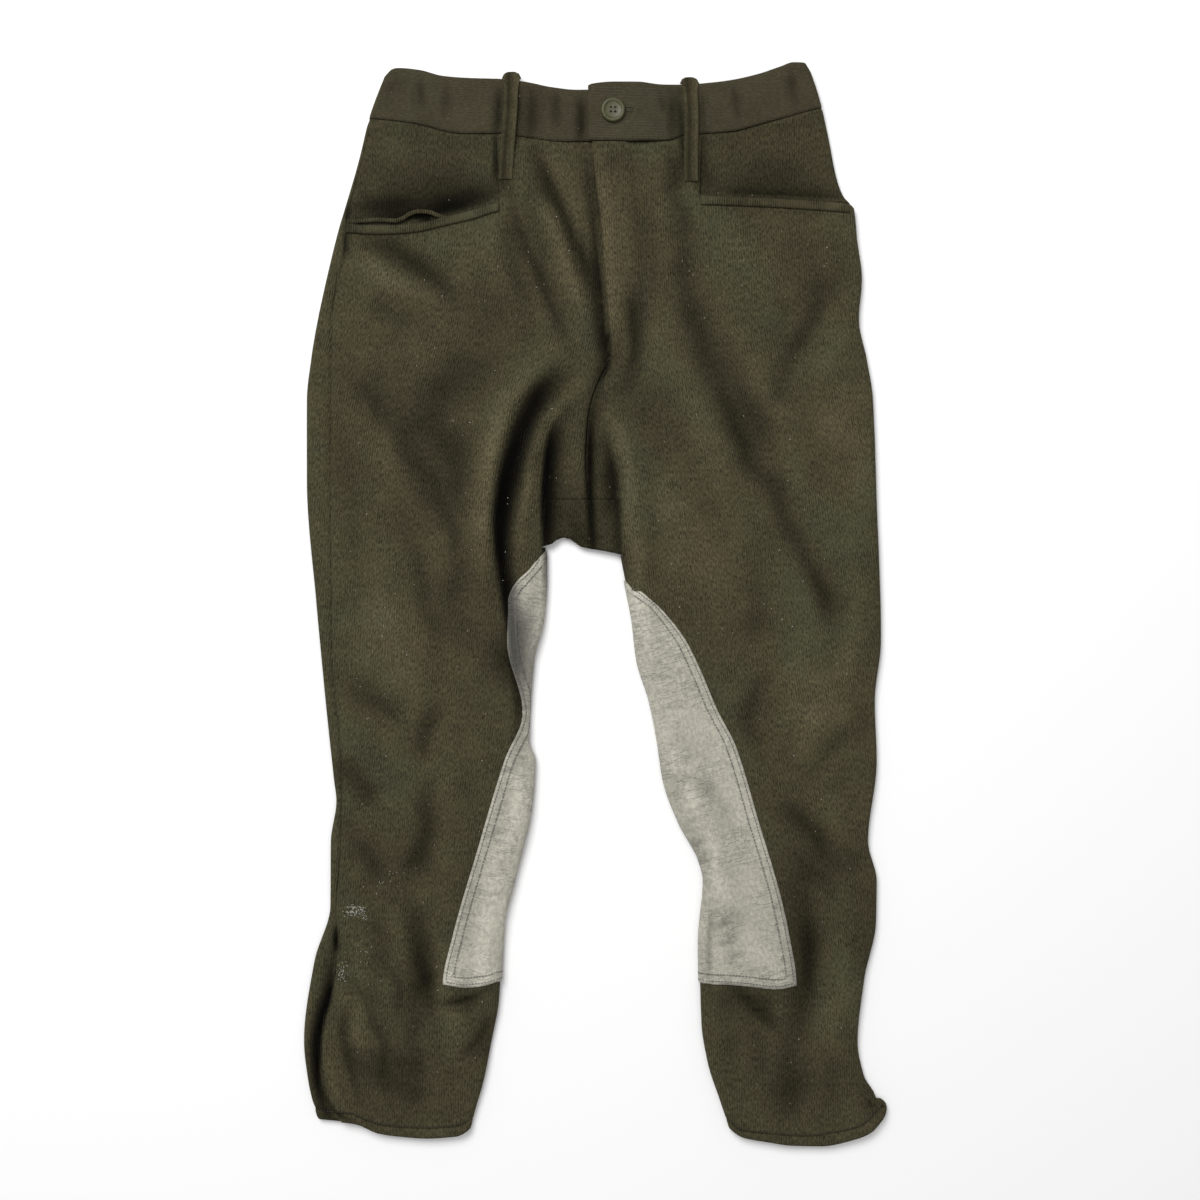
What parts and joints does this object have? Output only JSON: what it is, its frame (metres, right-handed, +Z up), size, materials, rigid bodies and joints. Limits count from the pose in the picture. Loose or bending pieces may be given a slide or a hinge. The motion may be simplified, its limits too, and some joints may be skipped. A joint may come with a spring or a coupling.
{
  "type": "riding breeches",
  "caption": "Wool riding breeches laid flat, front up, with wide thighs, narrow calves, L-cut pockets, buttoned waistband, belt loops and suede knee patches.",
  "frame": {"origin": "middle of the laid-out garment, on the surface that it lies on", "axes": "+Y from the hems to the waistband, +Z up from the surface to the front of the garment, +X to the wearer's left"},
  "size_m": [0.4734, 0.8787, 0.0152],
  "materials": {
    "wool": "dense brown-olive corded wool with a short nap, matt",
    "band_wool": "the same wool with its cords across, slightly paler, matt",
    "suede": "pale grey suede-like reinforcement, crinkled and matt",
    "button": "olive four-hole button with a slight gloss"
  },
  "bodies": {
    "root": {"front_left": "wool", "front_right": "wool", "back_left": "wool", "back_right": "wool", "gusset_left": "wool", "gusset_right": "wool", "hip_yoke_left": "wool", "hip_yoke_right": "wool", "pocket_welt_left": "wool", "pocket_welt_right": "wool", "waistband_left": "band_wool", "waistband_right": "band_wool", "waistband_back": "band_wool", "belt_loop_left": "band_wool", "belt_loop_right": "band_wool", "knee_patch_left": "suede", "knee_patch_right": "suede", "hem_front_left": "wool", "hem_front_right": "wool", "hem_back_left": "wool", "hem_back_right": "wool", "waist_button": "button"}
  },
  "joints": []
}
